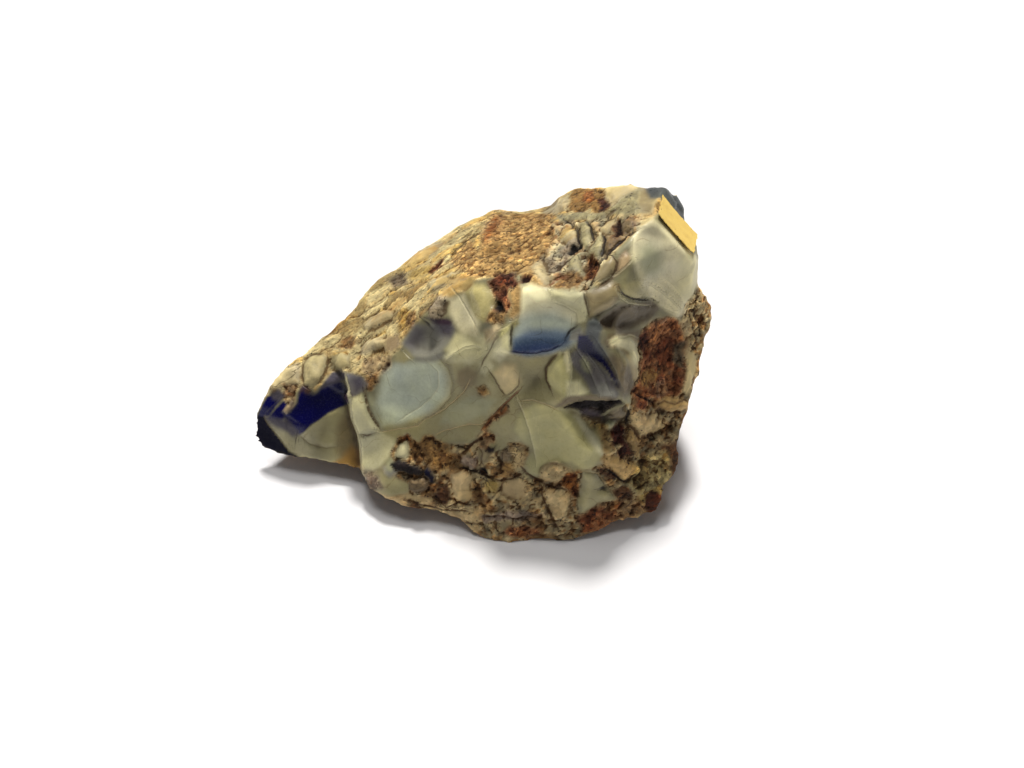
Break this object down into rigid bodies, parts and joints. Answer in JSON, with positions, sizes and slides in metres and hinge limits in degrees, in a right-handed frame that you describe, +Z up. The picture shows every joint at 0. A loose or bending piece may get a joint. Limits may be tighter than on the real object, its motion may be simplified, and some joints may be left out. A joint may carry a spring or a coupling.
{
  "type": "opal rock specimen",
  "caption": "Broken lump of common opal with a weathered brown crust and a small blank paper collection label, resting on a small flat spot.",
  "frame": {"origin": "under the middle of the stone's bounding box, on the surface it rests on", "axes": "+Z up; +X along the stone's longest extent, towards its thick end; the fractured face looks towards -Y"},
  "size_m": [0.073, 0.0528, 0.0422],
  "materials": {
    "opal": "waxy fracture faces with a rough limonite crust",
    "paper": "aged matt paper"
  },
  "bodies": {
    "root": {"stone": "opal", "label": "paper"}
  },
  "joints": []
}
